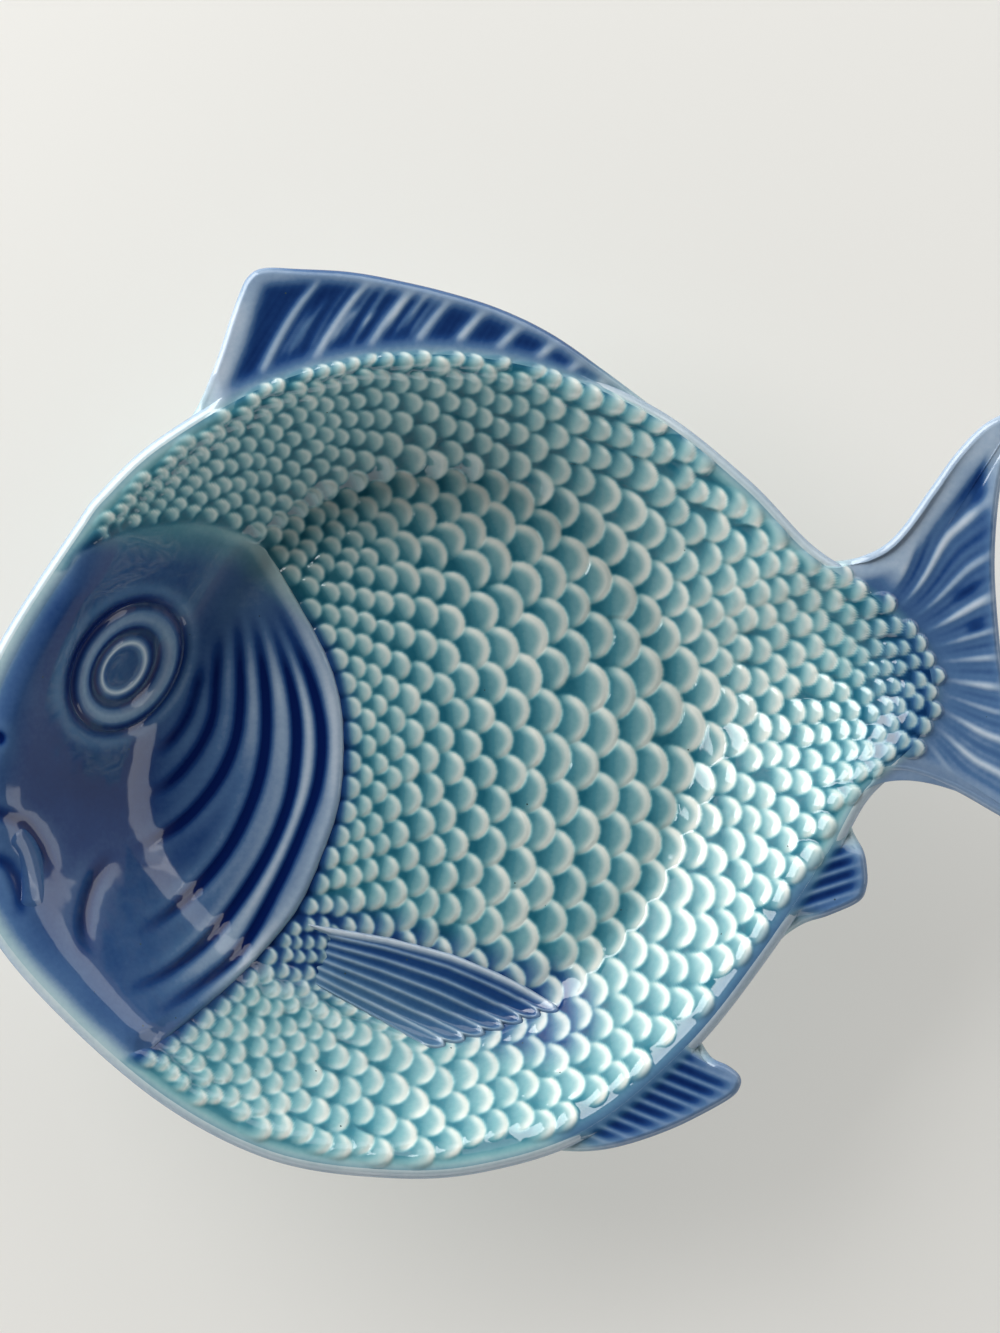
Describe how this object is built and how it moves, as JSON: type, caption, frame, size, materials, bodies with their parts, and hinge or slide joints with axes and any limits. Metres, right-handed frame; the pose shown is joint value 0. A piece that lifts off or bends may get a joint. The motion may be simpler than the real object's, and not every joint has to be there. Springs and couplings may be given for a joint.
{
  "type": "fish-shaped bowl",
  "caption": "Shallow serving bowl shaped as a fish lying on its side, with scaled basin, ridged gill cover, rayed fins and forked tail, on an oval foot ring.",
  "frame": {"origin": "middle of the bowl's box, on the table it stands on", "axes": "+X from the head to the tail, +Y from the belly to the back fin, +Z out of the open side"},
  "size_m": [0.3308, 0.2738, 0.0638],
  "materials": {
    "teal_glaze": "gloss",
    "cobalt_glaze": "gloss",
    "bare_clay": "matte"
  },
  "bodies": {
    "root": {"bowl_body": "teal_glaze", "foot_ring": "bare_clay", "dorsal_fin": "cobalt_glaze", "anal_fin": "cobalt_glaze", "pelvic_fin": "cobalt_glaze", "tail_fin": "cobalt_glaze", "head_plate": "cobalt_glaze", "eye": "cobalt_glaze", "lips": "cobalt_glaze", "pectoral_fin": "cobalt_glaze"}
  },
  "joints": []
}
